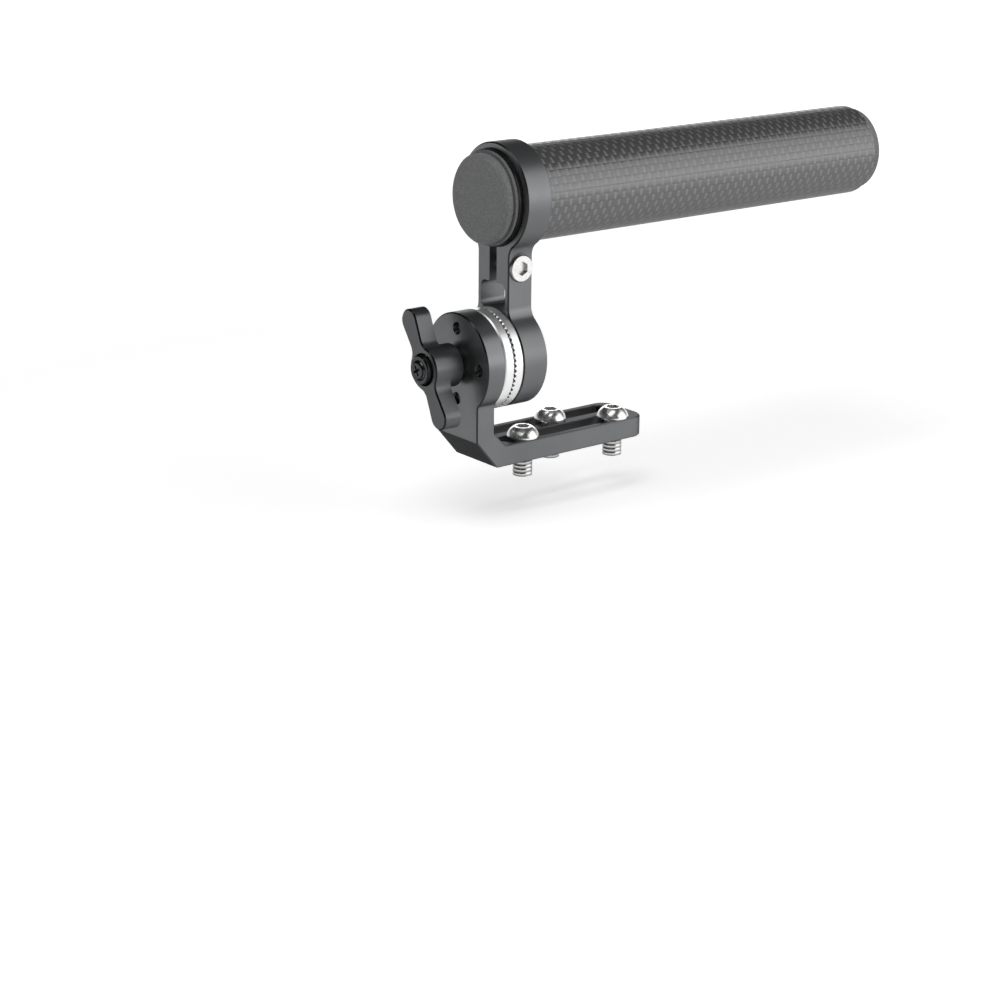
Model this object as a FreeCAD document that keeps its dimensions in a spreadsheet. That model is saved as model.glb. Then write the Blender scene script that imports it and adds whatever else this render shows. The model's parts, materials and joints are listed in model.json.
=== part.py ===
import FreeCAD, Part
import math
import os
import Sketcher

# Camera top handle: an L-shaped slotted bracket, a toothed rosette clamp worked by a ratchet
# lever, a tilting arm that ends in a split ring, and a carbon-fibre grip tube with rubber caps.
# Lengths are millimetres. Z is up, X runs along the grip tube, and Y is across the bracket.
# The bodies are drawn from the outer face of the upright disc and then set down so that the
# origin lies on the bracket's underside, midway along its slots.
# The model stands with the lever slack: the rosette tooth tips just clear each other.

doc = FreeCAD.newDocument("camera_top_handle")
sheet = doc.addObject("Spreadsheet::Sheet", "sizes")


class Size:
    """A length or angle that knows its value and the sheet expression it comes from."""

    def __init__(self, value, text):
        self.value = float(value)
        self.text = text

    def __add__(self, other):
        other = as_size(other)
        return Size(self.value + other.value, f"({self.text} + {other.text})")

    def __radd__(self, other):
        return as_size(other) + self

    def __sub__(self, other):
        other = as_size(other)
        return Size(self.value - other.value, f"({self.text} - {other.text})")

    def __rsub__(self, other):
        return as_size(other) - self

    def __mul__(self, other):
        other = as_size(other)
        return Size(self.value * other.value, f"({self.text} * {other.text})")

    def __rmul__(self, other):
        return as_size(other) * self

    def __truediv__(self, other):
        other = as_size(other)
        return Size(self.value / other.value, f"({self.text} / {other.text})")

    def __neg__(self):
        return Size(-self.value, f"(0 - {self.text})")


def as_size(number):
    if isinstance(number, Size):
        return number
    return Size(number, repr(float(number)))


def tan_of(angle):
    return Size(math.tan(math.radians(angle.value)), f"tan({angle.text} * 1deg)")


def sin_of(angle):
    return Size(math.sin(math.radians(angle.value)), f"sin({angle.text} * 1deg)")


def cos_of(angle):
    return Size(math.cos(math.radians(angle.value)), f"cos({angle.text} * 1deg)")


def root_of(square):
    return Size(math.sqrt(square.value), f"sqrt({square.text})")


# Driving dimensions, in millimetres and degrees
dimensions = {
    # Bracket
    "plate_thick": 7.0,
    "base_thick": 6.8,
    "base_width": 21.0,
    "base_length": 70.2,
    "base_corner": 5.0,
    "disc_radius": 16.0,
    "axis_height": 33.0,
    "heel_run": 8.0,
    "heel_rise": 9.5,
    "heel_round": 1.5,
    "throat_chamfer": 4.6,
    "throat_round": 1.5,
    "stem_round": 2.0,
    "edge_break": 0.4,
    # Slots and the screws in them
    "slot_width": 6.7,
    "slot_offset": 5.1,
    "slot_start": 17.0,
    "slot_end_margin": 7.6,
    "slot_break": 0.25,
    "base_screw_radius": 3.175,
    "base_neck_radius": 2.8,
    "base_screw_reach": 12.7,
    "base_head_radius": 5.25,
    "base_head_height": 3.3,
    "base_head_rim": 0.45,
    "base_head_flat": 2.9,
    "base_head_crown": 5.6,
    "base_socket_flats": 4.0,
    "base_socket_depth": 2.0,
    "front_screw_in": 5.6,
    "middle_screw_on": 2.4,
    "end_screw_in": 2.3,
    # Rosette rings
    "ring_thick": 3.5,
    "ring_radius": 16.0,
    "ring_bore": 6.0,
    "ring_edge": 0.45,
    "tooth_inner": 11.8,
    "tooth_depth": 0.6,
    "tooth_top_half": 2.66,
    "tooth_root_half": 0.51,
    "tip_gap": 0.05,
    "inner_sink": 0.15,
    "groove_overrun": 0.5,
    # Screws that hold the rings
    "ring_screw_circle": 11.2,
    "ring_screw_radius": 1.5,
    "ring_head_radius": 2.5,
    "ring_head_height": 1.5,
    "ring_head_sink": 0.1,
    "ring_socket_flats": 2.0,
    "ring_socket_depth": 0.9,
    "ring_screw_tip": 1.2,
    "tap_mouth": 2.0,
    "arm_tap_depth": 7.5,
    "arm_tap_clear": 1.0,
    "tap_clear": 0.05,
    "head_clear": 0.15,
    # Arm
    "arm_thick": 9.5,
    "stem_width": 15.4,
    "tube_height": 83.4,
    "clamp_outer": 17.0,
    "arm_round": 5.0,
    "stem_foot": 9.5,
    "window_width": 12.2,
    "window_low_share": 0.22,
    "window_high_share": 0.56,
    "window_round_share": 0.25,
    "split_width": 3.6,
    # Screw that closes the split ring
    "clamp_screw_share": 0.753,
    "clamp_screw_radius": 2.5,
    "clamp_head_radius": 4.3,
    "clamp_head_height": 0.95,
    "clamp_head_break": 0.3,
    "clamp_socket_flats": 4.0,
    "clamp_socket_depth": 1.2,
    "clamp_screw_short": 1.2,
    "clamp_hole_clear": 0.2,
    "clamp_seat_clear": 0.2,
    # Grip tube and its caps
    "tube_radius": 15.0,
    "tube_wall": 1.5,
    "tube_length": 155.5,
    "tube_overhang": 1.75,
    "tube_fit": 0.03,
    "cap_stand": 4.2,
    "cap_radius": 13.9,
    "cap_edge": 0.8,
    "cap_flange_radius": 14.6,
    "cap_flange_thick": 0.9,
    "cap_groove_width": 0.6,
    "cap_groove_depth": 0.5,
    "cap_plug_length": 8.0,
    "cap_plug_wall": 2.0,
    # Ratchet lever and the bolt it turns
    "washer_radius": 5.5,
    "washer_thick": 1.0,
    "bolt_radius": 3.0,
    "bolt_clear": 0.35,
    "bolt_thread_fit": 0.05,
    "bolt_short": 2.0,
    "collar_radius": 5.2,
    "collar_thick": 1.2,
    "spline_tip": 4.6,
    "spline_depth": 0.5,
    "spline_length": 2.8,
    "spline_half_top": 4.4,
    "spline_half_root": 3.0,
    "spline_clear": 0.15,
    "spline_side_clear": 0.9,
    "neck_radius": 2.6,
    "neck_clear": 0.35,
    "lever_float": 0.3,
    "lever_seat": 0.05,
    "lever_web": 1.0,
    "lever_outer_at": 12.9,
    "wing_thick": 6.0,
    "hub_radius": 6.8,
    "bulb_radius": 3.8,
    "bulb_offset": 15.7,
    "blade_flare": 6.5,
    "blade_round": 4.0,
    "wing_edge": 0.45,
    "lever_tilt": 28.6,
    "recess_radius": 5.2,
    "keeper_radius": 4.65,
    "keeper_thick": 2.0,
    "keeper_face_at": 14.5,
    "keeper_edge": 0.35,
    "cross_screw_radius": 1.5,
    "cross_screw_length": 6.0,
    "cross_tap_extra": 0.5,
    "cross_head_radius": 3.1,
    "cross_head_height": 1.7,
    "cross_head_sink": 0.8,
    "cross_recess_reach": 1.7,
    "cross_recess_width": 0.75,
    "cross_recess_depth": 1.1,
    "wire_radius": 0.3,
    "spring_radius": 3.85,
    "spring_turns": 3.0,
    "spring_clear": 0.05,
}
tooth_count = 60
spline_count = 20


class Sheet:
    """Every driving dimension, as a named Size that reads its cell of the spreadsheet."""

    def __init__(self, values):
        for row, (alias, value) in enumerate(values.items(), 1):
            sheet.set(f"A{row}", alias)
            sheet.set(f"B{row}", str(value))
            sheet.setAlias(f"B{row}", alias)
            setattr(self, alias, Size(value, f"sizes.{alias}"))


dim = Sheet(dimensions)

# Places that several pieces share
half_base = dim.base_width / 2
half_stem = dim.stem_width / 2
arm_face = dim.plate_thick + dim.ring_thick * 2 + dim.tip_gap
arm_back = arm_face + dim.arm_thick
arm_middle = arm_face + dim.arm_thick / 2
tube_start = arm_face - dim.tube_overhang
tube_finish = tube_start + dim.tube_length
tube_bore = dim.tube_radius - dim.tube_wall
collar_face = dim.washer_thick + dim.collar_thick
spline_face = collar_face + dim.spline_length
web_seat = spline_face + dim.lever_seat
web_face = web_seat + dim.lever_web
keeper_back = dim.keeper_face_at - dim.keeper_thick
cross_seat = dim.keeper_face_at - dim.cross_head_sink
ring_floor = dim.tooth_depth + dim.inner_sink
ring_head_top = ring_floor + dim.ring_head_sink
ring_head_seat = ring_head_top + dim.ring_head_height
eighth_turn = as_size(45.0)
half_spline = as_size(180.0) / spline_count

# The window and the clamp screw share out the stem's free length, from just above the rosette's
# screws to the underside of the tube
stem_low = dim.axis_height + dim.stem_foot
stem_free = dim.tube_height - dim.tube_radius - stem_low
window_low = stem_low + stem_free * dim.window_low_share
window_high = stem_low + stem_free * dim.window_high_share
window_round = (window_high - window_low) * dim.window_round_share
clamp_screw_height = stem_low + stem_free * dim.clamp_screw_share

# The slots follow the strap's length, and each screw has its place in its slot
slot_finish = dim.base_length - dim.slot_end_margin
slot_middle = (dim.slot_start + slot_finish) / 2
base_screw_places = ((dim.slot_start + dim.front_screw_in, -dim.slot_offset),
                     (slot_middle + dim.middle_screw_on, dim.slot_offset),
                     (slot_finish - dim.end_screw_in, -dim.slot_offset))

bodies = []


def new_body(name):
    body = doc.addObject("PartDesign::Body", name)
    body.Label = name
    bodies.append(body)
    return body


def origin_plane(body, role):
    for feature in body.Origin.OriginFeatures:
        if feature.Role == role:
            return feature
    raise ValueError(role)


def new_sketch(body, name, role, offset=None, across=None):
    """A sketch on an origin plane, moved along the plane's normal and its first axis."""
    sketch = body.newObject("Sketcher::SketchObject", name)
    sketch.AttachmentSupport = [(origin_plane(body, role), "")]
    sketch.MapMode = "FlatFace"
    shift = FreeCAD.Vector(across.value if across else 0, 0, offset.value if offset else 0)
    sketch.AttachmentOffset = FreeCAD.Placement(shift, FreeCAD.Rotation())
    if offset:
        sketch.setExpression("AttachmentOffset.Base.z", offset.text)
    if across:
        sketch.setExpression("AttachmentOffset.Base.x", across.text)
    return sketch


def pin_point(sketch, curve, point, across, up):
    """Hold a point of the sketch at two lengths from the sketch's origin."""
    for kind, length in (("DistanceX", as_size(across)), ("DistanceY", as_size(up))):
        number = sketch.addConstraint(
            Sketcher.Constraint(kind, -1, 1, curve, point, length.value))
        if "sizes." in length.text:
            sketch.setExpression(f"Constraints[{number}]", length.text)


def draw_polygon(sketch, points, arcs=None):
    """A closed outline. A side whose number is in arcs is an arc that bulges to its right."""
    arcs = arcs or {}
    points = [(as_size(across), as_size(up)) for across, up in points]
    corners = [FreeCAD.Vector(across.value, up.value, 0) for across, up in points]
    count = len(corners)
    sides = []
    for step in range(count):
        start = corners[step]
        finish = corners[(step + 1) % count]
        if step in arcs:
            radius = arcs[step]
            chord = finish - start
            half = chord.Length / 2
            inward = FreeCAD.Vector(-chord.y, chord.x, 0).normalize()
            centre = start + chord / 2 + inward * math.sqrt(radius.value ** 2 - half ** 2)
            circle = Part.Circle(centre, FreeCAD.Vector(0, 0, 1), radius.value)
            begin = math.atan2(start.y - centre.y, start.x - centre.x)
            end = math.atan2(finish.y - centre.y, finish.x - centre.x)
            curve = sketch.addGeometry(Part.ArcOfCircle(circle, begin, end))
            number = sketch.addConstraint(Sketcher.Constraint("Radius", curve, radius.value))
            sketch.setExpression(f"Constraints[{number}]", radius.text)
        else:
            curve = sketch.addGeometry(Part.LineSegment(start, finish))
        sides.append(curve)
    for step, curve in enumerate(sides):
        following = sides[(step + 1) % count]
        sketch.addConstraint(Sketcher.Constraint("Coincident", curve, 2, following, 1))
        pin_point(sketch, curve, 1, *points[step])


def draw_circle(sketch, across, up, radius):
    across = as_size(across)
    up = as_size(up)
    centre = FreeCAD.Vector(across.value, up.value, 0)
    circle = sketch.addGeometry(Part.Circle(centre, FreeCAD.Vector(0, 0, 1), radius.value))
    pin_point(sketch, circle, 3, across, up)
    number = sketch.addConstraint(Sketcher.Constraint("Radius", circle, radius.value))
    sketch.setExpression(f"Constraints[{number}]", radius.text)


def draw_box(sketch, left, right, low, high):
    draw_polygon(sketch, ((left, low), (right, low), (right, high), (left, high)))


def draw_slot(sketch, start, finish, middle, radius):
    """A round-ended slot along the sketch's first axis, between two arc centres."""
    low = middle.value - radius.value
    high = middle.value + radius.value
    normal = FreeCAD.Vector(0, 0, 1)
    left_circle = Part.Circle(FreeCAD.Vector(start.value, middle.value, 0), normal, radius.value)
    right_circle = Part.Circle(FreeCAD.Vector(finish.value, middle.value, 0), normal, radius.value)
    left = sketch.addGeometry(Part.ArcOfCircle(left_circle, math.pi / 2, math.pi * 3 / 2))
    right = sketch.addGeometry(Part.ArcOfCircle(right_circle, -math.pi / 2, math.pi / 2))
    bottom = sketch.addGeometry(Part.LineSegment(
        FreeCAD.Vector(start.value, low, 0), FreeCAD.Vector(finish.value, low, 0)))
    top = sketch.addGeometry(Part.LineSegment(
        FreeCAD.Vector(finish.value, high, 0), FreeCAD.Vector(start.value, high, 0)))
    for one, one_end, other, other_end in (
            (left, 2, bottom, 1), (bottom, 2, right, 1), (right, 2, top, 1), (top, 2, left, 1)):
        sketch.addConstraint(Sketcher.Constraint("Tangent", one, one_end, other, other_end))
    pin_point(sketch, left, 3, start, middle)
    pin_point(sketch, right, 3, finish, middle)
    number = sketch.addConstraint(Sketcher.Constraint("Radius", left, radius.value))
    sketch.setExpression(f"Constraints[{number}]", radius.text)


def pad(body, name, sketch, length, reverse=False, both=False):
    feature = body.newObject("PartDesign::Pad", name)
    feature.Profile = sketch
    feature.Length = length.value
    feature.setExpression("Length", length.text)
    feature.Reversed = reverse
    feature.Midplane = both
    doc.recompute()
    return feature


def pocket(body, name, sketch, length, reverse=False, both=False):
    """Cut a sketch out of the body, and stop if the cut took nothing away."""
    before = body.Shape.Volume
    feature = body.newObject("PartDesign::Pocket", name)
    feature.Profile = sketch
    feature.Length = length.value
    feature.setExpression("Length", length.text)
    feature.Reversed = reverse
    feature.Midplane = both
    doc.recompute()
    if body.Shape.Volume >= before:
        raise RuntimeError(f"{body.Label}: {name} cut nothing")
    return feature


def turn(body, name, points, axis="H_Axis", arcs=None, offset=None, across=None):
    """Revolve a closed outline in the X-Z plane once round one axis of its sketch."""
    sketch = new_sketch(body, f"{name}_outline", "XZ_Plane", offset, across)
    draw_polygon(sketch, points, arcs)
    feature = body.newObject("PartDesign::Revolution", name)
    feature.Profile = sketch
    feature.ReferenceAxis = (sketch, [axis])
    feature.Angle = 360.0
    doc.recompute()
    return feature


def pick_edges(shape, wanted):
    """Names of the edges for which wanted(edge, centre) is true."""
    return [f"Edge{number}" for number, edge in enumerate(shape.Edges, 1)
            if wanted(edge, edge.BoundBox.Center)]


def dress(body, kind, name, size, wanted):
    """Fillet or chamfer every edge that the rule picks."""
    base = body.Tip
    edges = pick_edges(base.Shape, wanted)
    if not edges:
        raise RuntimeError(f"{body.Label}: no edge for {name}")
    feature = body.newObject(f"PartDesign::{kind}", name)
    feature.Base = (base, edges)
    sized = "Radius" if kind == "Fillet" else "Size"
    setattr(feature, sized, size.value)
    feature.setExpression(sized, size.text)
    doc.recompute()
    return feature


def near(one, other, slack=0.01):
    return abs(one - other) < slack


def runs_along(edge, axis, slack=0.001):
    """True for a straight edge parallel to the named axis."""
    box = edge.BoundBox
    spans = {"X": box.XLength, "Y": box.YLength, "Z": box.ZLength}
    length = spans.pop(axis)
    return length > slack and max(spans.values()) < slack


def lies_at(edge, axis, value, slack=0.01):
    """True for an edge that lies in the plane where the named axis has this value."""
    box = edge.BoundBox
    low, high = {"X": (box.XMin, box.XMax), "Y": (box.YMin, box.YMax),
                 "Z": (box.ZMin, box.ZMax)}[axis]
    return near(low, value, slack) and near(high, value, slack)


def polar(body, name, features, count, axis_role):
    """Repeat features round one of the body's origin axes."""
    pattern = body.newObject("PartDesign::PolarPattern", name)
    pattern.Originals = features
    pattern.Axis = (origin_plane(body, axis_role), [""])
    pattern.Angle = 360.0
    pattern.Occurrences = count
    body.Tip = pattern
    doc.recompute()
    return pattern


def place(body, along=0.0, up=0.0, turns=()):
    """Set a body down at a distance from the disc's face and a height, after some turns."""
    along = as_size(along) - slot_middle
    up = as_size(up)
    rotation = FreeCAD.Rotation()
    for axis, angle in turns:
        rotation = FreeCAD.Rotation(axis, angle) * rotation
    body.Placement = FreeCAD.Placement(
        FreeCAD.Vector(along.value, 0, up.value), rotation)
    for letter, length in (("x", along), ("z", up)):
        if "sizes." in length.text:
            body.setExpression(f"Placement.Base.{letter}", length.text)


def draw_hexagon(sketch, across, up, flats):
    """A hexagon with two corners on the sketch's second axis."""
    half = flats / 2
    corner = flats / root_of(as_size(3.0))
    points = []
    for side, rise in ((0.0, corner), (half, corner / 2), (half, -corner / 2),
                       (0.0, -corner), (-half, -corner / 2), (-half, corner / 2)):
        points.append((as_size(across) + side, as_size(up) + rise))
    draw_polygon(sketch, points)


def build_bracket():
    body = new_body("bracket")
    profile = new_sketch(body, "bracket_profile", "XZ_Plane")
    draw_polygon(profile, (
        (dim.heel_run, 0.0), (dim.base_length, 0.0), (dim.base_length, dim.base_thick),
        (dim.plate_thick + dim.throat_chamfer, dim.base_thick),
        (dim.plate_thick, dim.base_thick + dim.throat_chamfer),
        (dim.plate_thick, dim.axis_height), (0.0, dim.axis_height), (0.0, dim.heel_rise)))
    pad(body, "bracket_strap", profile, dim.base_width, both=True)
    disc = new_sketch(body, "bracket_disc_outline", "YZ_Plane")
    draw_circle(disc, 0.0, dim.axis_height, dim.disc_radius)
    pad(body, "bracket_disc", disc, dim.plate_thick)

    dress(body, "Fillet", "bracket_stem_round", dim.stem_round,
          lambda edge, middle: runs_along(edge, "X") and near(abs(middle.y), half_base.value)
          and dim.base_thick.value + dim.throat_chamfer.value < middle.z < dim.axis_height.value)
    dress(body, "Fillet", "bracket_end_round", dim.base_corner,
          lambda edge, middle: runs_along(edge, "Z") and near(middle.x, dim.base_length.value))
    dress(body, "Fillet", "bracket_heel_round", dim.heel_round,
          lambda edge, middle: runs_along(edge, "Y") and (
              near(middle.x, dim.heel_run.value) and near(middle.z, 0.0)
              or near(middle.x, 0.0) and near(middle.z, dim.heel_rise.value)))
    dress(body, "Fillet", "bracket_throat_round", dim.throat_round,
          lambda edge, middle: runs_along(edge, "Y") and (
              near(middle.x, dim.plate_thick.value + dim.throat_chamfer.value)
              and near(middle.z, dim.base_thick.value)
              or near(middle.x, dim.plate_thick.value)
              and near(middle.z, dim.base_thick.value + dim.throat_chamfer.value)))
    side = half_base.value
    dress(body, "Chamfer", "bracket_edge_break", dim.edge_break,
          lambda edge, middle: lies_at(edge, "Y", side) or lies_at(edge, "Y", -side)
          or lies_at(edge, "X", 0.0) and middle.z > dim.axis_height.value
          or lies_at(edge, "X", dim.plate_thick.value) and middle.z > dim.axis_height.value)

    slots = new_sketch(body, "bracket_slot_outlines", "XY_Plane")
    for middle in (dim.slot_offset, -dim.slot_offset):
        draw_slot(slots, dim.slot_start, slot_finish, middle, dim.slot_width / 2)
    pocket(body, "bracket_slots", slots, dim.base_thick, reverse=True)
    reach = dim.slot_offset.value + dim.slot_width.value / 2
    dress(body, "Chamfer", "bracket_slot_break", dim.slot_break,
          lambda edge, middle: lies_at(edge, "Z", dim.base_thick.value)
          and abs(middle.y) - reach < 0.01 and dim.slot_start.value - dim.slot_width.value / 2
          - 0.01 < edge.BoundBox.XMin and edge.BoundBox.XMax < slot_finish.value
          + dim.slot_width.value / 2 + 0.01)
    bore = new_sketch(body, "bracket_bolt_outline", "YZ_Plane")
    draw_circle(bore, 0.0, dim.axis_height, dim.bolt_radius + dim.bolt_clear)
    pocket(body, "bracket_bolt_hole", bore, dim.plate_thick, reverse=True)
    taps = new_sketch(body, "bracket_tap_outlines", "YZ_Plane")
    for across, up in ((1, 0), (0, 1), (-1, 0), (0, -1)):
        draw_circle(taps, dim.ring_screw_circle * across, dim.axis_height + dim.ring_screw_circle * up,
                    dim.ring_screw_radius + dim.tap_clear)
    pocket(body, "bracket_taps", taps, dim.plate_thick, reverse=True)
    dress(body, "Chamfer", "bracket_tap_mouths", dim.tap_mouth - dim.ring_screw_radius - dim.tap_clear,
          lambda edge, middle: lies_at(edge, "X", 0.0) and near(
              edge.BoundBox.YLength, 2 * (dim.ring_screw_radius.value + dim.tap_clear.value)))
    return body


def build_ring(name):
    """One toothed ring: its back at X = 0, its tooth tips at X = ring_thick."""
    body = new_body(name)
    floor = dim.ring_thick - ring_floor
    shoulder = dim.ring_radius - dim.ring_edge
    turn(body, f"{name}_blank", (
        (0.0, dim.ring_bore), (floor, dim.ring_bore), (floor, dim.tooth_inner),
        (dim.ring_thick, dim.tooth_inner), (dim.ring_thick, shoulder),
        (dim.ring_thick - dim.ring_edge, dim.ring_radius), (dim.ring_edge, dim.ring_radius),
        (0.0, shoulder)))
    sections = []
    for place_name, reach in (("inner", dim.tooth_inner - dim.groove_overrun),
                              ("outer", dim.ring_radius + dim.groove_overrun)):
        section = new_sketch(body, f"{name}_groove_{place_name}", "XZ_Plane", reach)
        top = reach * tan_of(dim.tooth_top_half)
        root = reach * tan_of(dim.tooth_root_half)
        above = dim.ring_thick + dim.tooth_depth
        draw_polygon(section, (
            (dim.ring_thick - dim.tooth_depth, root), (dim.ring_thick - dim.tooth_depth, -root),
            (dim.ring_thick, -top), (above, -top), (above, top), (dim.ring_thick, top)))
        sections.append(section)
    groove = body.newObject("PartDesign::SubtractiveLoft", f"{name}_groove")
    groove.Profile = sections[0]
    groove.Sections = sections[1:]
    groove.Ruled = True
    doc.recompute()
    polar(body, f"{name}_teeth", [groove], tooth_count, "X_Axis")

    heads = new_sketch(body, f"{name}_head_outlines", "YZ_Plane", dim.ring_thick)
    holes = new_sketch(body, f"{name}_hole_outlines", "YZ_Plane", dim.ring_thick)
    for across, up in ((1, 0), (0, 1), (-1, 0), (0, -1)):
        centre = (dim.ring_screw_circle * across, dim.ring_screw_circle * up)
        draw_circle(heads, *centre, dim.ring_head_radius + dim.head_clear)
        draw_circle(holes, *centre, dim.ring_screw_radius + dim.head_clear)
    pocket(body, f"{name}_head_seats", heads, ring_head_seat)
    pocket(body, f"{name}_holes", holes, dim.ring_thick)
    return body


def build_ring_screws(name, shank_end):
    """Four socket screws, in the same frame as the ring that they hold."""
    body = new_body(name)
    body.AllowCompound = True
    seat = dim.ring_thick - ring_head_seat
    head = new_sketch(body, f"{name}_heads", "YZ_Plane", seat)
    shank = new_sketch(body, f"{name}_shanks", "YZ_Plane", seat)
    sockets = new_sketch(body, f"{name}_sockets", "YZ_Plane", seat + dim.ring_head_height)
    draw_circle(head, 0.0, dim.ring_screw_circle, dim.ring_head_radius)
    draw_circle(shank, 0.0, dim.ring_screw_circle, dim.ring_screw_radius)
    draw_hexagon(sockets, 0.0, dim.ring_screw_circle, dim.ring_socket_flats)
    made = [pad(body, f"{name}_head", head, dim.ring_head_height),
            pad(body, f"{name}_shank", shank, seat - shank_end, reverse=True),
            pocket(body, f"{name}_socket", sockets, dim.ring_socket_depth)]
    polar(body, f"{name}_four", made, 4, "X_Axis")
    return body


def build_arm():
    body = new_body("arm")
    for name, shape in (
            ("arm_disc", lambda sketch: draw_circle(sketch, 0.0, dim.axis_height, dim.disc_radius)),
            ("arm_stem", lambda sketch: draw_box(
                sketch, -half_stem, half_stem, dim.axis_height, dim.tube_height)),
            ("arm_clamp", lambda sketch: draw_circle(sketch, 0.0, dim.tube_height, dim.clamp_outer))):
        sketch = new_sketch(body, f"{name}_outline", "YZ_Plane", arm_face)
        shape(sketch)
        pad(body, name, sketch, dim.arm_thick)
    dress(body, "Fillet", "arm_rounds", dim.arm_round,
          lambda edge, middle: runs_along(edge, "X") and near(abs(middle.y), half_stem.value))
    dress(body, "Chamfer", "arm_edge_break", dim.edge_break,
          lambda edge, middle: lies_at(edge, "X", arm_face.value)
          or lies_at(edge, "X", arm_back.value))

    bore = new_sketch(body, "arm_bore_outline", "YZ_Plane", arm_face)
    draw_circle(bore, 0.0, dim.tube_height, dim.tube_radius + dim.tube_fit)
    pocket(body, "arm_bore", bore, dim.arm_thick, reverse=True)
    window = new_sketch(body, "arm_window_outline", "YZ_Plane", arm_face)
    draw_box(window, -dim.window_width / 2, dim.window_width / 2, window_low, window_high)
    pocket(body, "arm_window", window, dim.arm_thick, reverse=True)
    dress(body, "Fillet", "arm_window_rounds", window_round,
          lambda edge, middle: runs_along(edge, "X")
          and near(abs(middle.y), dim.window_width.value / 2))
    split = new_sketch(body, "arm_split_outline", "YZ_Plane", arm_face)
    draw_box(split, -dim.split_width / 2, dim.split_width / 2, window_high - window_round,
             dim.tube_height - dim.tube_radius + dim.tube_wall)
    pocket(body, "arm_split", split, dim.arm_thick, reverse=True)
    dress(body, "Chamfer", "arm_bore_break", dim.edge_break / 2,
          lambda edge, middle: (lies_at(edge, "X", arm_face.value)
                                or lies_at(edge, "X", arm_back.value))
          and near(edge.Curve.Radius if hasattr(edge.Curve, "Radius") else 0.0,
                   dim.tube_radius.value + dim.tube_fit.value))

    thread = new_sketch(body, "arm_thread_outline", "YZ_Plane", arm_face)
    draw_circle(thread, 0.0, dim.axis_height, dim.bolt_radius + dim.bolt_thread_fit)
    pocket(body, "arm_thread", thread, dim.arm_thick, reverse=True)
    taps = new_sketch(body, "arm_tap_outlines", "YZ_Plane", arm_face)
    step = dim.ring_screw_circle * sin_of(eighth_turn)
    for across, up in ((1, 1), (-1, 1), (-1, -1), (1, -1)):
        draw_circle(taps, step * across, dim.axis_height + step * up,
                    dim.ring_screw_radius + dim.tap_clear)
    pocket(body, "arm_taps", taps, dim.arm_tap_depth, reverse=True)

    seat = new_sketch(body, "arm_screw_seat_outline", "XZ_Plane", half_stem)
    draw_circle(seat, arm_middle, clamp_screw_height, dim.clamp_head_radius + dim.clamp_seat_clear)
    pocket(body, "arm_screw_seat", seat, dim.clamp_head_height, reverse=True)
    clearance = new_sketch(body, "arm_screw_clearance_outline", "XZ_Plane")
    draw_circle(clearance, arm_middle, clamp_screw_height,
                dim.clamp_screw_radius + dim.clamp_hole_clear)
    pocket(body, "arm_screw_clearance", clearance, half_stem, reverse=True)
    tapped = new_sketch(body, "arm_screw_thread_outline", "XZ_Plane")
    draw_circle(tapped, arm_middle, clamp_screw_height, dim.clamp_screw_radius + dim.tap_clear)
    pocket(body, "arm_screw_thread", tapped, half_stem)
    return body


def build_clamp_screw():
    """The low-headed screw that draws the two legs of the split ring together."""
    body = new_body("clamp_screw")
    head = new_sketch(body, "clamp_head_outline", "XZ_Plane", half_stem)
    draw_circle(head, arm_middle, clamp_screw_height, dim.clamp_head_radius)
    pad(body, "clamp_head", head, dim.clamp_head_height)
    front = -half_stem.value - dim.clamp_head_height.value
    dress(body, "Chamfer", "clamp_head_rim", dim.clamp_head_break,
          lambda edge, middle: lies_at(edge, "Y", front))
    shank = new_sketch(body, "clamp_shank_outline", "XZ_Plane", half_stem)
    draw_circle(shank, arm_middle, clamp_screw_height, dim.clamp_screw_radius)
    pad(body, "clamp_shank", shank, dim.stem_width - dim.clamp_screw_short, reverse=True)
    socket = new_sketch(body, "clamp_socket_outline", "XZ_Plane", half_stem + dim.clamp_head_height)
    draw_hexagon(socket, arm_middle, clamp_screw_height, dim.clamp_socket_flats)
    pocket(body, "clamp_socket", socket, dim.clamp_socket_depth)
    return body


def build_tube():
    body = new_body("grip_tube")
    section = new_sketch(body, "tube_section", "YZ_Plane", tube_start)
    draw_circle(section, 0.0, dim.tube_height, dim.tube_radius)
    draw_circle(section, 0.0, dim.tube_height, tube_bore)
    pad(body, "tube_wall_pad", section, dim.tube_length)
    return body


def build_cap(name):
    """A rubber plug, its flange at X = 0 against the tube's end and its face outward."""
    body = new_body(name)
    waist = dim.cap_radius - dim.cap_groove_depth
    step = dim.cap_flange_thick + dim.cap_groove_width
    inside = tube_bore - dim.cap_plug_wall
    turn(body, f"{name}_form", (
        (0.0, 0.0), (0.0, inside), (-dim.cap_plug_length, inside), (-dim.cap_plug_length, tube_bore),
        (0.0, tube_bore), (0.0, dim.cap_flange_radius), (dim.cap_flange_thick, dim.cap_flange_radius),
        (dim.cap_flange_thick, waist), (step, waist), (step, dim.cap_radius),
        (dim.cap_stand, dim.cap_radius),
        (dim.cap_stand, 0.0)))
    dress(body, "Chamfer", f"{name}_rim", dim.cap_edge,
          lambda edge, middle: lies_at(edge, "X", dim.cap_stand.value)
          and near(edge.BoundBox.YLength, 2 * dim.cap_radius.value))
    return body


def build_washer():
    body = new_body("thrust_washer")
    section = new_sketch(body, "washer_section", "YZ_Plane")
    draw_circle(section, 0.0, 0.0, dim.washer_radius)
    draw_circle(section, 0.0, 0.0, dim.bolt_radius + dim.tap_clear)
    pad(body, "washer_pad", section, dim.washer_thick, reverse=True)
    return body


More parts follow.
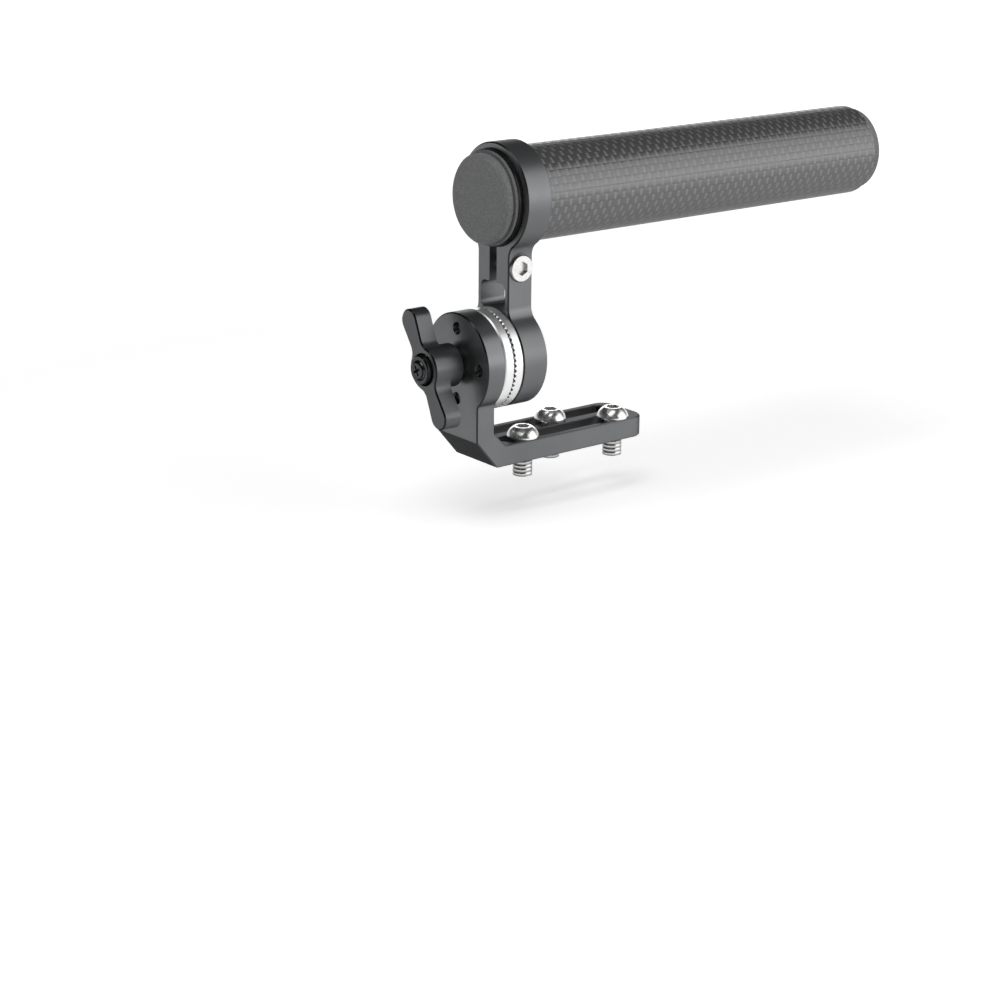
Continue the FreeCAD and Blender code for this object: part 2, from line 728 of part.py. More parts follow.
def build_bolt():
    """The threaded stud, its collar, the splined boss that the lever drives, and a neck."""
    body = new_body("clamp_bolt")
    stud_end = arm_back - dim.bolt_short
    turn(body, "bolt_form", (
        (stud_end, 0.0), (stud_end, dim.bolt_radius), (-dim.washer_thick, dim.bolt_radius),
        (-dim.washer_thick, dim.collar_radius), (-collar_face, dim.collar_radius),
        (-collar_face, dim.spline_tip), (-spline_face, dim.spline_tip), (-spline_face, dim.neck_radius),
        (-keeper_back, dim.neck_radius), (-keeper_back, 0.0)))
    groove = new_sketch(body, "bolt_groove_outline", "YZ_Plane", -spline_face)
    root = dim.spline_tip - dim.spline_depth
    top = dim.spline_tip + dim.spline_depth
    root_half = root * tan_of(dim.spline_half_root)
    top_half = top * tan_of(dim.spline_half_top)
    draw_polygon(groove, ((-root_half, root), (root_half, root), (top_half, top), (-top_half, top)))
    cut = pocket(body, "bolt_groove", groove, dim.spline_length, reverse=True)
    polar(body, "bolt_spline", [cut], spline_count, "X_Axis")
    hole = new_sketch(body, "bolt_tap_outline", "YZ_Plane", -keeper_back)
    draw_circle(hole, 0.0, 0.0, dim.cross_screw_radius + dim.tap_clear)
    reach = dim.cross_screw_length - cross_seat + keeper_back
    pocket(body, "bolt_tap", hole, reach + dim.cross_tap_extra, reverse=True)
    return body


def build_lever():
    """The T-shaped lever: a hub with two blades that end in round bulbs."""
    body = new_body("lever")
    foot = collar_face + dim.lever_float
    hub = new_sketch(body, "lever_hub_outline", "YZ_Plane", -foot)
    draw_circle(hub, 0.0, 0.0, dim.hub_radius)
    pad(body, "lever_hub", hub, dim.lever_outer_at - foot, reverse=True)
    flare = tan_of(dim.blade_flare)
    waist = dim.bulb_radius / cos_of(dim.blade_flare) - dim.bulb_offset * flare
    touch_side = dim.bulb_radius * cos_of(dim.blade_flare)
    touch_end = dim.bulb_offset - dim.bulb_radius * sin_of(dim.blade_flare)
    blades = new_sketch(body, "lever_blade_outline", "YZ_Plane", -dim.lever_outer_at)
    draw_polygon(blades, (
        (waist, 0.0), (touch_side, touch_end), (-touch_side, touch_end), (-waist, 0.0),
        (-touch_side, -touch_end), (touch_side, -touch_end)))
    pad(body, "lever_blades", blades, dim.wing_thick)
    bulbs = new_sketch(body, "lever_bulb_outlines", "YZ_Plane", -dim.lever_outer_at)
    for side in (1, -1):
        draw_circle(bulbs, 0.0, dim.bulb_offset * side, dim.bulb_radius)
    pad(body, "lever_bulbs", bulbs, dim.wing_thick)
    dress(body, "Fillet", "lever_blade_rounds", dim.blade_round,
          lambda edge, middle: runs_along(edge, "X")
          and near(math.hypot(middle.y, middle.z), dim.hub_radius.value))
    dress(body, "Chamfer", "lever_edges", dim.wing_edge,
          lambda edge, middle: lies_at(edge, "X", -dim.lever_outer_at.value))

    recess = new_sketch(body, "lever_recess_outline", "YZ_Plane", -dim.lever_outer_at)
    draw_circle(recess, 0.0, 0.0, dim.recess_radius)
    pocket(body, "lever_recess", recess, dim.lever_outer_at - web_face, reverse=True)
    passage = new_sketch(body, "lever_web_outline", "YZ_Plane", -web_face)
    draw_circle(passage, 0.0, 0.0, dim.neck_radius + dim.neck_clear)
    pocket(body, "lever_web_hole", passage, dim.lever_web, reverse=True)
    minor = dim.spline_tip - dim.spline_depth + dim.spline_clear
    major = dim.spline_tip + dim.spline_clear
    splined = new_sketch(body, "lever_spline_bore_outline", "YZ_Plane", -foot)
    draw_circle(splined, 0.0, 0.0, minor)
    pocket(body, "lever_spline_bore", splined, web_seat - foot)
    groove = new_sketch(body, "lever_groove_outline", "YZ_Plane", -foot)
    low = minor - dim.spline_clear
    low_half = low * tan_of(half_spline - dim.spline_half_root + dim.spline_side_clear)
    top_half = major * tan_of(half_spline - dim.spline_half_top + dim.spline_side_clear)
    draw_polygon(groove, ((-low_half, low), (low_half, low), (top_half, major),
                          (-top_half, major)))
    cut = pocket(body, "lever_groove", groove, web_seat - foot)
    polar(body, "lever_spline", [cut], spline_count, "X_Axis")
    return body


def build_keeper():
    """The collar on the end of the bolt that holds the spring and the lever on."""
    body = new_body("spring_keeper")
    hole = dim.cross_screw_radius + dim.head_clear
    pocket_radius = dim.cross_head_radius + dim.head_clear
    turn(body, "keeper_form", (
        (-keeper_back, hole), (-keeper_back, dim.keeper_radius),
        (-dim.keeper_face_at, dim.keeper_radius),
        (-dim.keeper_face_at, pocket_radius), (-cross_seat, pocket_radius), (-cross_seat, hole)))
    dress(body, "Chamfer", "keeper_edge_break", dim.keeper_edge,
          lambda edge, middle: lies_at(edge, "X", -dim.keeper_face_at.value)
          and near(edge.BoundBox.YLength, 2 * dim.keeper_radius.value))
    return body


def build_cross_screw():
    """The small cross-recessed screw in the end of the bolt."""
    body = new_body("cross_screw")
    tip = cross_seat - dim.cross_screw_length
    crown = cross_seat + dim.cross_head_height
    turn(body, "cross_screw_form", (
        (-tip, 0.0), (-tip, dim.cross_screw_radius), (-cross_seat, dim.cross_screw_radius),
        (-cross_seat, dim.cross_head_radius), (-crown, dim.cross_head_radius), (-crown, 0.0)))
    dress(body, "Fillet", "cross_screw_crown", dim.cross_head_height * 0.75,
          lambda edge, middle: lies_at(edge, "X", -crown.value)
          and near(edge.BoundBox.YLength, 2 * dim.cross_head_radius.value))
    cross = new_sketch(body, "cross_recess_outline", "YZ_Plane", -crown)
    wide = dim.cross_recess_reach
    thin = dim.cross_recess_width / 2
    draw_polygon(cross, (
        (wide, thin), (thin, thin), (thin, wide), (-thin, wide), (-thin, thin), (-wide, thin),
        (-wide, -thin), (-thin, -thin), (-thin, -wide), (thin, -wide), (thin, -thin),
        (wide, -thin)))
    pocket(body, "cross_recess", cross, dim.cross_recess_depth, reverse=True)
    return body


def build_spring():
    """The coil spring between the lever's web and the keeper, of square wire."""
    body = new_body("lever_spring")
    start = web_face + dim.spring_clear + dim.wire_radius
    finish = keeper_back - dim.spring_clear - dim.wire_radius
    wire = new_sketch(body, "spring_wire", "XZ_Plane")
    draw_box(wire, -start - dim.wire_radius, -start + dim.wire_radius,
             dim.spring_radius - dim.wire_radius, dim.spring_radius + dim.wire_radius)
    coil = body.newObject("PartDesign::AdditiveHelix", "spring_coil")
    coil.Profile = wire
    coil.ReferenceAxis = (wire, ["H_Axis"])
    coil.Mode = "height-turns-angle"
    coil.Height = (finish - start).value
    coil.setExpression("Height", (finish - start).text)
    coil.Turns = dim.spring_turns.value
    coil.setExpression("Turns", dim.spring_turns.text)
    coil.Reversed = True
    doc.recompute()
    return body


def build_base_screws():
    """Three button-headed screws in the bracket's slots, threaded below its underside."""
    body = new_body("base_screws")
    body.AllowCompound = True
    rim = dim.base_thick + dim.base_head_rim
    crown = dim.base_thick + dim.base_head_height
    low = dim.base_thick - dim.base_screw_reach
    for number, (along, aside) in enumerate(base_screw_places, 1):
        turn(body, f"base_screw_{number}", (
            (0.0, low), (dim.base_screw_radius, low), (dim.base_screw_radius, 0.0),
            (dim.base_neck_radius, 0.0), (dim.base_neck_radius, dim.base_thick),
            (dim.base_head_radius, dim.base_thick), (dim.base_head_radius, rim),
            (dim.base_head_flat, crown),
            (0.0, crown)), "V_Axis", {6: dim.base_head_crown}, -aside, along)
        socket = new_sketch(body, f"base_socket_{number}_outline", "XY_Plane", crown)
        draw_hexagon(socket, along, aside, dim.base_socket_flats)
        pocket(body, f"base_socket_{number}", socket, dim.base_socket_depth)
    return body


# Pieces whose own axis is the rosette's are modelled about X and set down at its height.
# The moving ring is turned by an eighth of a turn, which is seven and a half teeth, so that
# its teeth face the gaps of the fixed ring. The bolt is turned by half a spline pitch, so that
# its splines stand in the lever's grooves.
facing_back = (FreeCAD.Vector(0, 0, 1), 180.0)
half_tooth_on = (FreeCAD.Vector(1, 0, 0), eighth_turn.value)
half_spline_on = (FreeCAD.Vector(1, 0, 0), half_spline.value)
with_the_lever = (FreeCAD.Vector(-1, 0, 0), dim.lever_tilt.value)

place(build_bracket())
place(build_ring("rosette_fixed"), dim.plate_thick, dim.axis_height)
place(build_ring_screws("rosette_screws_fixed", dim.ring_screw_tip - dim.plate_thick),
      dim.plate_thick, dim.axis_height)
place(build_ring("rosette_moving"), arm_face, dim.axis_height, (facing_back, half_tooth_on))
place(build_ring_screws("rosette_screws_moving", dim.arm_tap_clear - dim.arm_tap_depth),
      arm_face, dim.axis_height, (facing_back, half_tooth_on))
place(build_base_screws())
place(build_arm())
place(build_clamp_screw())
place(build_tube())
place(build_cap("end_cap"), tube_finish, dim.tube_height)
place(build_cap("clamp_cap"), tube_start, dim.tube_height, (facing_back,))
place(build_washer(), 0.0, dim.axis_height)
place(build_bolt(), 0.0, dim.axis_height, (half_spline_on, with_the_lever))
place(build_lever(), 0.0, dim.axis_height, (with_the_lever,))
place(build_keeper(), 0.0, dim.axis_height)
place(build_cross_screw(), 0.0, dim.axis_height, (with_the_lever,))
place(build_spring(), 0.0, dim.axis_height)

doc.recompute()
for item in doc.Objects:
    if "Invalid" in item.State or "Error" in item.State:
        raise RuntimeError(f"{item.Label} failed: {item.State}")
for body in bodies:
    if body.Shape.isNull() or not body.Shape.isValid():
        raise RuntimeError(f"{body.Label} has no valid shape")

os.makedirs("parts", exist_ok=True)
for body in bodies:
    body.Shape.exportStep(f"parts/{body.Label}.step")
    print(body.Label, len(body.Shape.Solids), round(body.Shape.Volume, 3))
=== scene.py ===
import bpy
import json
import math
from mathutils import Matrix, Vector


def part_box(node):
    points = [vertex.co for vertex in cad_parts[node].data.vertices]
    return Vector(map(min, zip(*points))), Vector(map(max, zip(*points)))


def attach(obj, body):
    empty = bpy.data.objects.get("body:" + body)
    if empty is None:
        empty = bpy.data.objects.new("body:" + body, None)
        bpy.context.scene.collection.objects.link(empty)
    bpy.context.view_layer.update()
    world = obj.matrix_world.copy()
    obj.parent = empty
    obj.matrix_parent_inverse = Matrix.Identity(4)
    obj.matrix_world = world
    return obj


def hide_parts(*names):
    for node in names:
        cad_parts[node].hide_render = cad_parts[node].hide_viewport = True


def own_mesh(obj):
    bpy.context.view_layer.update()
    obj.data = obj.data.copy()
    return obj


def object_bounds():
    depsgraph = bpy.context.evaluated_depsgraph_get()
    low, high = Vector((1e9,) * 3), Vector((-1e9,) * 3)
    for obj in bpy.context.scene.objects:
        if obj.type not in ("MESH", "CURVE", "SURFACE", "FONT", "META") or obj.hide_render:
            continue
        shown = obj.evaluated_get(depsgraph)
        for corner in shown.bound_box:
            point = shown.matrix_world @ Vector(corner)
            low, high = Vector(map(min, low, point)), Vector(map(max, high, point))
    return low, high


# Camera top handle: looks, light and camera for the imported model. Lengths are in metres.
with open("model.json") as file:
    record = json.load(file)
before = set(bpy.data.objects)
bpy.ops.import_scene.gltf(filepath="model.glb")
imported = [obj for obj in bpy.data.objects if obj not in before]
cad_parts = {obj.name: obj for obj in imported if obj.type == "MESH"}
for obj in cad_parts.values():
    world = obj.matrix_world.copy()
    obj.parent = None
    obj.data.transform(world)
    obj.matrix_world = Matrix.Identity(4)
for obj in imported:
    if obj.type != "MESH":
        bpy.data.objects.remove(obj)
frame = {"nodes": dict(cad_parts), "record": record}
loaded_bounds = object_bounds()
nodes = frame["nodes"]
MM = 0.001

scene = bpy.context.scene
scene.view_settings.view_transform = "Standard"

# Places read from the model
tube_low, tube_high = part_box("grip_tube")
tube_axis = (tube_low + tube_high) / 2
tube_radius = (tube_high.z - tube_low.z) / 2
washer_low, washer_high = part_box("thrust_washer")
rosette_axis = (washer_low + washer_high) / 2
arm_low, arm_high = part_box("arm")
screws_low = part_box("base_screws")[0]

# How far the joints go, as in the record
ARM_TILT = math.radians(132)

# Noise scales, in repeats per metre
BLAST_GRAIN = 5200.0
DYE_CLOUD = 60.0
DUST_SPECK = 900.0
LATHE_LINES = 9000.0
STEEL_CLOUD = 90.0
WIPE_MARKS = 700.0
RUBBER_GRAIN = 1500.0
RUBBER_PITS = 1700.0
YARN_ALONG = 700.0
YARN_ROUND = 190.0

# How bright metal is when it is seen edge-on, and how much warmer than grey the steel is
EDGE_ON = 0.35
STEEL_TINT = -0.01

# Broken edges and the heel lean 45 degrees to x. They get painted shade, a dark reflection painted
# into their colour, and they are smoother than flat faces.
BEVEL_FROM, BEVEL_FULL, BEVEL_FULL_END, BEVEL_TO = 0.50, 0.56, 0.84, 0.90
BEVEL_SHADE_SHARE = 0.9
BEVEL_SHADE_LEVEL = 0.1
BEVEL_SMOOTHER = 0.12

# Quarter-inch thread of the base screws, drawn from this far below the bracket's underside
THREAD_PITCH = 1.27 * MM
THREAD_START = -0.3 * MM
THREAD_RELIEF = 0.8 * MM

# Weave of the grip tube: pitch along it, width of a row round it, a tick's share of the pitch
# and how softly the tick ends
WEAVE_PITCH = 3.6 * MM
WEAVE_ROW = 2.36 * MM
WEAVE_TICK = 0.24
WEAVE_SOFT = 0.09
WEAVE_RELIEF = 0.09 * MM
# Colour levels of the bricks and the ticks; the ticks' extra lightness is partly painted sheen of
# the hoop yarn
CARBON_BRICK = 0.165
CARBON_TICK_AND_SHEEN = 0.255
# Enough pitches to keep the count along the tube above zero
WEAVE_START = 50.0


class Graph:
    """The node tree of a material or world, built by calls."""

    def __init__(self, owner):
        owner.use_nodes = True
        self.owner = owner
        self.tree = owner.node_tree
        self.tree.nodes.clear()

    def node(self, kind, inputs=None, **settings):
        made = self.tree.nodes.new(kind)
        for key, value in settings.items():
            setattr(made, key, value)
        for key, value in (inputs or {}).items():
            self.feed(made.inputs[key], value)
        return made

    def feed(self, socket, value):
        """Join a socket to an output, or to a node's first output, or give it a value."""
        if isinstance(value, bpy.types.NodeSocket):
            self.tree.links.new(value, socket)
        elif isinstance(value, bpy.types.Node):
            self.tree.links.new(value.outputs[0], socket)
        else:
            socket.default_value = value

    def math(self, operation, first, second=0.0):
        return self.node("ShaderNodeMath", {0: first, 1: second}, operation=operation).outputs[0]

    def span(self, value, low, high, to_low=0.0, to_high=1.0, smooth=False):
        """Map a value from low..high to to_low..to_high, and hold it beyond them."""
        made = self.node("ShaderNodeMapRange", {
            "Value": value, "From Min": low, "From Max": high,
            "To Min": to_low, "To Max": to_high})
        made.interpolation_type = "SMOOTHSTEP" if smooth else "LINEAR"
        return made.outputs[0]

    def blend(self, share, first, second):
        made = self.node("ShaderNodeMix", data_type="RGBA")
        self.feed(made.inputs["Factor"], share)
        self.feed(made.inputs[6], first)
        self.feed(made.inputs[7], second)
        return made.outputs[2]

    def split(self, vector):
        return self.node("ShaderNodeSeparateXYZ", {0: vector}).outputs

    def join(self, x, y):
        return self.node("ShaderNodeCombineXYZ", {0: x, 1: y}).outputs[0]

    def place(self):
        return self.node("ShaderNodeTexCoord").outputs["Object"]

    def lean(self, axis):
        """How far a face leans to an axis of the object, either way: 0 to 1."""
        facing = self.node("ShaderNodeNewGeometry").outputs["True Normal"]
        return self.math("ABSOLUTE", self.split(facing)[axis])

    def length(self, across, up):
        return self.math("SQRT", self.math("ADD", self.math("MULTIPLY", across, across),
                                           self.math("MULTIPLY", up, up)))

    def noise(self, scale, detail=2.0, vector=None, roughness=0.5):
        return self.node("ShaderNodeTexNoise", {
            "Vector": vector or self.place(), "Scale": scale, "Detail": detail,
            "Roughness": roughness}).outputs[0]

    def bump(self, height, distance, strength):
        return self.node("ShaderNodeBump", {
            "Height": height, "Distance": distance, "Strength": strength}).outputs[0]

    def finish(self, **values):
        """Close a material with a Principled shader that has these inputs."""
        shader = self.node("ShaderNodeBsdfPrincipled", {
            key.replace("_", " "): value for key, value in values.items()})
        self.node("ShaderNodeOutputMaterial", {"Surface": shader})
        return self.owner


def new_graph(name):
    return Graph(bpy.data.materials.new(name))


def grey(level, tint=0.0):
    """A near-neutral colour, cooler with a positive tint and warmer with a negative one."""
    return (level * (1 - tint), level, level * (1 + tint), 1.0)


def anodised(name, level, rough, tint=0.025):
    """Bead-blasted and dyed metal, with fine grain, faint clouds, and smoother bevels with painted
    shade in their colour.
    """
    g = new_graph(name)
    grain = g.noise(BLAST_GRAIN, 3.0)
    cloud = g.noise(DYE_CLOUD, 3.0)
    speck = g.span(g.noise(DUST_SPECK, 2.0), 0.76, 0.80)
    lean = g.lean(0)
    bevel = g.math("MULTIPLY", g.span(lean, BEVEL_FROM, BEVEL_FULL),
                   g.span(lean, BEVEL_TO, BEVEL_FULL_END))
    colour = g.blend(g.span(cloud, 0.3, 0.7), grey(level * 0.93, tint), grey(level * 1.07, tint))
    colour = g.blend(g.math("MULTIPLY", speck, 0.25), colour, grey(level * 1.8, tint))
    # Painted shade: the bevels and the heel are darkened in colour, standing in for the dark
    # surroundings that they reflect
    colour = g.blend(g.math("MULTIPLY", bevel, BEVEL_SHADE_SHARE), colour, grey(level * BEVEL_SHADE_LEVEL))
    roughness = g.span(grain, 0.3, 0.7, rough - 0.04, rough + 0.05)
    roughness = g.math("SUBTRACT", roughness, g.math("MULTIPLY", bevel, BEVEL_SMOOTHER))
    return g.finish(Base_Color=colour, Metallic=0.9, Roughness=roughness,
                    Specular_Tint=grey(EDGE_ON), Normal=g.bump(grain, 0.012 * MM, 0.35))


def turned_steel(name, level, rough):
    """Bright steel with fine lathe lines round the rosette's axis."""
    g = new_graph(name)
    x, y, z = g.split(g.place())
    radius = g.length(y, g.math("SUBTRACT", z, rosette_axis.z))
    lines = g.join(g.math("MULTIPLY", x, LATHE_LINES), g.math("MULTIPLY", radius, LATHE_LINES))
    line = g.noise(1.0, 2.0, lines)
    cloud = g.noise(STEEL_CLOUD, 3.0)
    colour = g.blend(g.span(line, 0.3, 0.7), grey(level * 0.9), grey(level))
    colour = g.blend(g.span(cloud, 0.35, 0.65, 0.0, 0.3), colour, grey(level * 0.8))
    return g.finish(Base_Color=colour, Metallic=1.0,
                    Roughness=g.span(line, 0.3, 0.7, rough - 0.06, rough + 0.06),
                    Normal=g.bump(line, 0.01 * MM, 0.3))


def polished(name, level, rough):
    """Polished steel with faint wiping marks, threaded below the bracket's underside, with painted
    shade in the thread roots.
    """
    g = new_graph(name)
    mark = g.noise(WIPE_MARKS, 4.0)
    height = g.split(g.place())[2]
    turns = g.math("FRACT", g.math("DIVIDE", height, THREAD_PITCH))
    crest = g.math("ABSOLUTE", g.math("SUBTRACT", turns, 0.5))
    threaded = g.span(height, 0.0, THREAD_START)
    # Painted shade: the thread roots are darkened in colour below the bracket's underside
    root_shade = g.math("MULTIPLY", threaded, g.span(crest, 0.0, 0.5, 0.8, 0.0))
    colour = g.blend(g.span(mark, 0.4, 0.6), grey(level * 0.95, STEEL_TINT),
                     grey(level, STEEL_TINT))
    return g.finish(Base_Color=g.blend(root_shade, colour, grey(level * 0.15)), Metallic=1.0,
                    Roughness=g.span(mark, 0.35, 0.7, rough * 0.8, rough * 1.3),
                    Normal=g.bump(g.math("MULTIPLY", threaded, crest), THREAD_RELIEF, 0.9))


def faced_steel(name, level, rough):
    """Machined steel head that faces along y, with painted shade on its edges, its side and its
    socket.
    """
    g = new_graph(name)
    mark = g.noise(WIPE_MARKS, 4.0)
    lean = g.lean(1)
    edge = g.math("MULTIPLY", g.span(lean, 0.3, 0.4), g.span(lean, 0.95, 0.90))
    side = g.span(lean, 0.15, 0.05)
    # Painted shade: the chamfered edge, the side wall and the socket walls are darkened in colour,
    # standing in for shadow and the dark stem that they reflect
    dark = g.math("MAXIMUM", g.math("MULTIPLY", edge, 0.85), g.math("MULTIPLY", side, 0.7))
    colour = g.blend(g.span(mark, 0.4, 0.6), grey(level * 0.93, STEEL_TINT),
                     grey(level, STEEL_TINT))
    return g.finish(Base_Color=g.blend(dark, colour, grey(level * 0.15)), Metallic=1.0,
                    Roughness=g.span(mark, 0.35, 0.7, rough * 0.8, rough * 1.3))


def rubber(name, level, tint=0.015):
    """Moulded rubber with a fine leathery grain."""
    g = new_graph(name)
    grain = g.noise(RUBBER_GRAIN, 6.0, roughness=0.7)
    pits = g.node("ShaderNodeTexVoronoi", {"Vector": g.place(), "Scale": RUBBER_PITS}).outputs[0]
    height = g.math("ADD", grain, g.math("MULTIPLY", pits, 0.5))
    colour = g.blend(g.span(height, 0.5, 1.0), grey(level * 0.7, tint), grey(level * 1.2, tint))
    return g.finish(Base_Color=colour, Roughness=g.span(grain, 0.3, 0.7, 0.55, 0.75),
                    Normal=g.bump(height, 0.12 * MM, 0.8))


def carbon(name):
    """Woven carbon fibre in satin resin: ticks of hoop yarn between bricks of axial yarn, with
    painted shadow along the row seams and painted sheen on the ticks.

    The tube's cut ends, its bore and its stretch beyond the clamp ring are bare, glossy and
    dark."""
    g = new_graph(name)
    x, y, z = g.split(g.place())
    up = g.math("SUBTRACT", z, tube_axis.z)
    turn = g.math("ARCTAN2", y, up)

    # Rows round the tube, an even number of them, every other one half a pitch further on
    rows = round(2 * math.pi * tube_radius / WEAVE_ROW / 2) * 2
    row = g.math("MULTIPLY", turn, rows / (2 * math.pi))
    odd = g.math("MODULO", g.math("ADD", g.math("FLOOR", row), float(rows)), 2.0)
    along = g.math("ADD", g.math("DIVIDE", x, WEAVE_PITCH), g.math("MULTIPLY", odd, 0.5))
    along = g.math("ADD", along, WEAVE_START)
    from_tick = g.math("ABSOLUTE", g.math("SUBTRACT", g.math("FRACT", along), 0.5))
    from_row = g.math("ABSOLUTE", g.math("SUBTRACT", g.math("FRACT", row), 0.5))
    seam = g.span(from_row, 0.36, 0.5, smooth=True)
    tick = g.span(from_tick, WEAVE_TICK / 2 + WEAVE_SOFT, WEAVE_TICK / 2 - WEAVE_SOFT, smooth=True)
    tick = g.math("MULTIPLY", tick, g.span(seam, 0.0, 1.0, 1.0, 0.6))

    # Colour: fine strands, bricks that differ a little, and ticks lighter than the bricks, partly
    # the weave's own pattern and partly painted sheen of the hoop yarn
    strand = g.noise(1.0, 2.0, g.join(g.math("MULTIPLY", x, YARN_ALONG),
                                      g.math("MULTIPLY", turn, YARN_ROUND)))
    patch = g.noise(1.0, 1.0, g.join(g.math("FLOOR", along), g.math("FLOOR", row)))
    strand_share = g.span(strand, 0.3, 0.7)
    brick_colour = g.blend(strand_share, grey(CARBON_BRICK * 0.85), grey(CARBON_BRICK * 1.15))
    brick_colour = g.blend(g.span(patch, 0.35, 0.65, 0.0, 0.5), brick_colour,
                           grey(CARBON_BRICK * 0.7))
    tick_colour_and_sheen = g.blend(strand_share, grey(CARBON_TICK_AND_SHEEN * 0.8), grey(CARBON_TICK_AND_SHEEN * 1.1))
    colour = g.blend(tick, brick_colour, tick_colour_and_sheen)
    # Painted shadow: the row seams are darkened in colour, as if shaded where the rows dip under
    # each other
    colour = g.blend(g.math("MULTIPLY", seam, 0.22), colour, grey(CARBON_BRICK * 0.45))

    # Relief: each row is crowned, and each brick is a pillow between raised ticks
    crown = g.math("SUBTRACT", 1.0, g.math("POWER", g.math("MULTIPLY", from_row, 2.0), 3.0))
    pillow = g.span(from_tick, 0.1, 0.42, smooth=True)
    height = g.math("ADD", g.math("MULTIPLY", tick, 0.6), g.math("MULTIPLY", crown, 0.6))
    height = g.math("ADD", height, g.math("MULTIPLY", pillow, 0.9))

    cut_end = g.span(g.lean(0), 0.4, 0.6)
    beyond = g.span(x, arm_low.x + 0.15 * MM, arm_low.x)
    bore = g.span(g.length(y, up), tube_radius - 0.3 * MM, tube_radius - 0.6 * MM)
    bare = g.math("MAXIMUM", g.math("MAXIMUM", cut_end, beyond), bore)
    height = g.math("MULTIPLY", height, g.math("SUBTRACT", 1.0, bare))
    woven_roughness = g.blend(tick, grey(0.30), grey(0.55))
    return g.finish(Base_Color=g.blend(bare, colour, grey(0.02)), Metallic=0.6,
                    Roughness=g.blend(bare, woven_roughness, grey(0.2)),
                    Normal=g.bump(height, WEAVE_RELIEF, 0.7),
                    Specular_Tint=grey(EDGE_ON), Coat_Weight=0.05, Coat_Roughness=0.3)


# Finishes by the record's slot, with one screw's own: name, brightness and roughness
finishes = {
    "black_anodised": anodised("black_anodised", 0.168, 0.32),
    "black_anodised_arm": anodised("black_anodised_arm", 0.170, 0.40),
    "bright_steel": turned_steel("bright_steel", 0.88, 0.40),
    "polished_steel": polished("polished_steel", 0.88, 0.27),
    "black_steel": anodised("black_steel", 0.075, 0.24),
    "washer_steel": anodised("washer_steel", 0.06, 0.3),
    "carbon_fibre": carbon("carbon_fibre"),
    "cap_rubber": rubber("cap_rubber", 0.18),
    "lever_black": anodised("lever_black", 0.115, 0.36),
    "spring_steel": polished("spring_steel", 0.5, 0.25),
}
own_finishes = {"clamp_screw": faced_steel("clamp_screw_steel", 0.72, 0.28)}
for part in frame["record"]["subparts"]:
    target = nodes[part["node"]]
    target.data.materials.clear()
    target.data.materials.append(
        own_finishes.get(part["node"]) or finishes[part["material_slot"]])

# The spring is a copy that moves with the bolt; nothing here shortens it towards its keeper as the
# lever is pulled out along x
spring = bpy.data.objects.new("spring_coil", nodes["lever_spring"].data.copy())
scene.collection.objects.link(spring)
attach(spring, "bolt")
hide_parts("lever_spring")
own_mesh(spring)


def area_light(name, aim, toward, distance, width, height, radiance):
    """A softbox that stands off from a point in one direction and faces it.

    Its power comes from the brightness that it shows, where 1 is white."""
    data = bpy.data.lights.new(name, "AREA")
    data.shape = "RECTANGLE"
    data.size = width
    data.size_y = height
    data.energy = radiance * math.pi * width * height
    lamp = bpy.data.objects.new(name, data)
    way = Vector(toward).normalized()
    lamp.location = aim + way * distance
    lamp.rotation_euler = (-way).to_track_quat("-Z", "Y").to_euler()
    lamp.visible_camera = False
    scene.collection.objects.link(lamp)


middle = (loaded_bounds[0] + loaded_bounds[1]) / 2
area_light("front_box", middle, (0.66, -0.76, 0.42), 0.90, 1.0, 0.80, 1.7)
area_light("top_box", middle, (-0.40, -0.05, 1.0), 0.95, 0.70, 0.70, 3.0)
area_light("back_strip", middle, (0.59, 0.79, 0.19), 1.20, 1.1, 0.38, 2.1)

# Floor: under the screws, and clear of the clamp ring when the arm is tilted to its limit
FLOOR_GAP = 0.3 * MM
FLOOR_HALF = 9.0
FLOOR_LEVEL = 0.85
# Its own glow, near the object and far from it, and the distances between which it changes
GLOW_NEAR, GLOW_FAR = 0.50, 0.95
GLOW_FROM, GLOW_TO = 0.25, 1.1


def floor_finish():
    """Pale floor that glows for the rays that see it, so that it is white behind the object.

    From underneath it isn't there, so that the object can be seen from below."""
    g = new_graph("floor_white")
    rays = g.node("ShaderNodeLightPath").outputs
    seen = g.math("MAXIMUM", rays["Is Camera Ray"], rays["Is Glossy Ray"])
    seen = g.math("MAXIMUM", seen, rays["Is Transmission Ray"])
    reach = g.node("ShaderNodeVectorMath", {0: g.place()}, operation="LENGTH").outputs["Value"]
    lift = g.span(reach, GLOW_FROM, GLOW_TO, GLOW_NEAR, GLOW_FAR)
    glow = g.node("ShaderNodeEmission", {"Strength": g.math("MULTIPLY", seen, lift)})
    pale = g.node("ShaderNodeBsdfDiffuse", {"Color": grey(FLOOR_LEVEL)})
    above = g.node("ShaderNodeAddShader", {0: pale, 1: glow})
    under = g.node("ShaderNodeNewGeometry").outputs["Backfacing"]
    surface = g.node("ShaderNodeMixShader", {
        0: under, 1: above, 2: g.node("ShaderNodeBsdfTransparent")})
    g.node("ShaderNodeOutputMaterial", {"Surface": surface})
    return g.owner


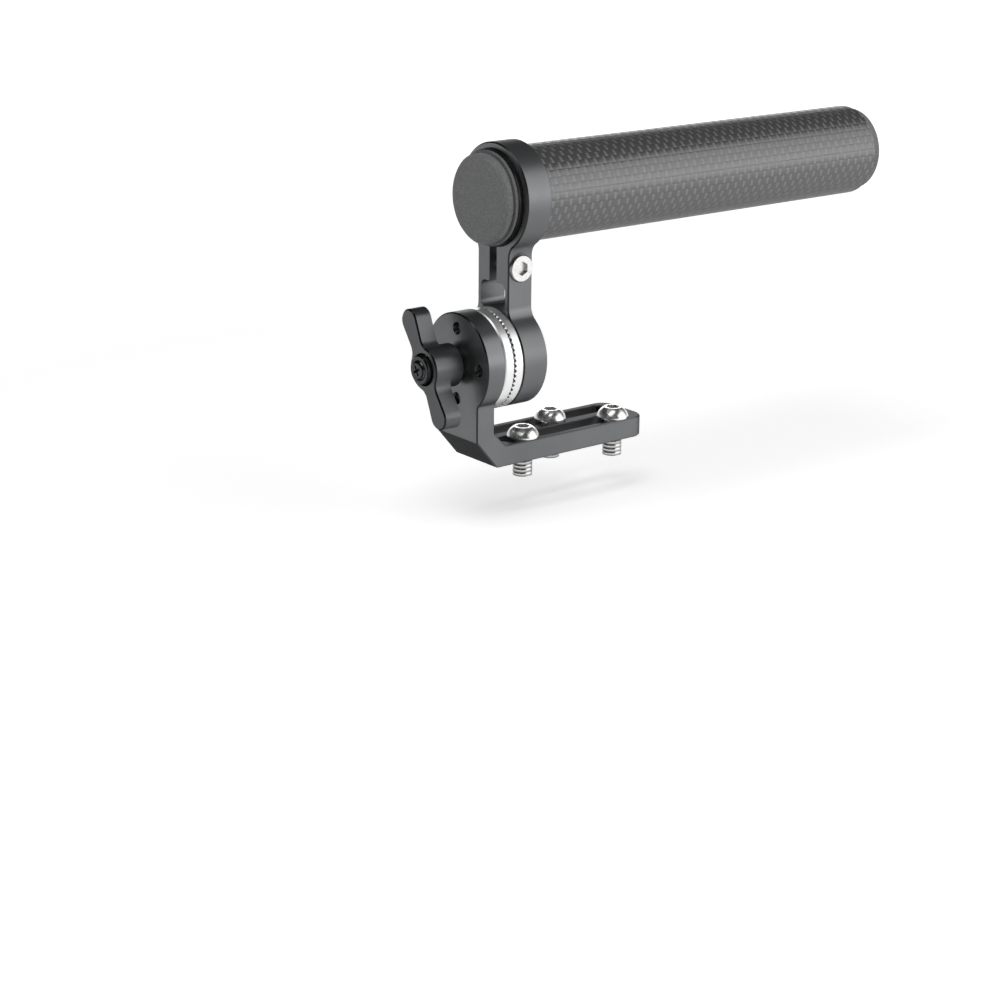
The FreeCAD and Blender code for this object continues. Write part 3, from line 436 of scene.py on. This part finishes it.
swung_low = (rosette_axis.z + (tube_axis.z - rosette_axis.z) * math.cos(ARM_TILT)
             - (arm_high.z - tube_axis.z))
floor_place = min(screws_low.z, swung_low) - FLOOR_GAP
floor_mesh = bpy.data.meshes.new("floor")
floor_mesh.from_pydata([(x * FLOOR_HALF, y * FLOOR_HALF, floor_place)
                        for x, y in ((-1, -1), (1, -1), (1, 1), (-1, 1))], [], [(0, 1, 2, 3)])
floor_mesh.materials.append(floor_finish())
floor = bpy.data.objects.new("floor", floor_mesh)
scene.collection.objects.link(floor)

# World: white at the horizon, and dark from this height of the upward direction on
DARK_FROM = 0.40
DARK_LEVEL = 0.04
scene.world = bpy.data.worlds.new("studio")
sky = Graph(scene.world)
sky_height = sky.split(sky.node("ShaderNodeTexCoord").outputs["Generated"])[2]
sky_level = sky.span(sky_height, 0.0, DARK_FROM, 1.0, DARK_LEVEL, smooth=True)
backdrop = sky.node("ShaderNodeBackground", {"Color": grey(1.0), "Strength": sky_level})
sky.node("ShaderNodeOutputWorld", {"Surface": backdrop})

# Camera, as fitted to the photograph: it looks at aim_point from this side and distance
azimuth = math.radians(-38.32)
elevation = math.radians(18.30)
roll = math.radians(0.51)
aim_point = Vector((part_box("bracket")[0].x + 17.62 * MM, 0.0, -15.13 * MM))
distance = 723.81 * MM
picture_size = 1000.0
focal_pixels = 2251.11
sensor = 36.0

back = Vector((math.sin(azimuth) * math.cos(elevation), -math.cos(azimuth) * math.cos(elevation),
               math.sin(elevation)))
right = Vector((math.cos(azimuth), math.sin(azimuth), 0.0))
above = back.cross(right)
right_rolled = right * math.cos(roll) + above * math.sin(roll)
above_rolled = above * math.cos(roll) - right * math.sin(roll)
camera_data = bpy.data.cameras.new("camera")
camera_data.sensor_width = sensor
camera_data.sensor_fit = "HORIZONTAL"
camera_data.lens = focal_pixels / picture_size * sensor
camera_data.clip_start = 0.01
camera = bpy.data.objects.new("camera", camera_data)
turned = Matrix((right_rolled, above_rolled, back)).transposed().to_4x4()
camera.matrix_world = Matrix.Translation(aim_point + back * distance) @ turned
scene.collection.objects.link(camera)
scene.camera = camera
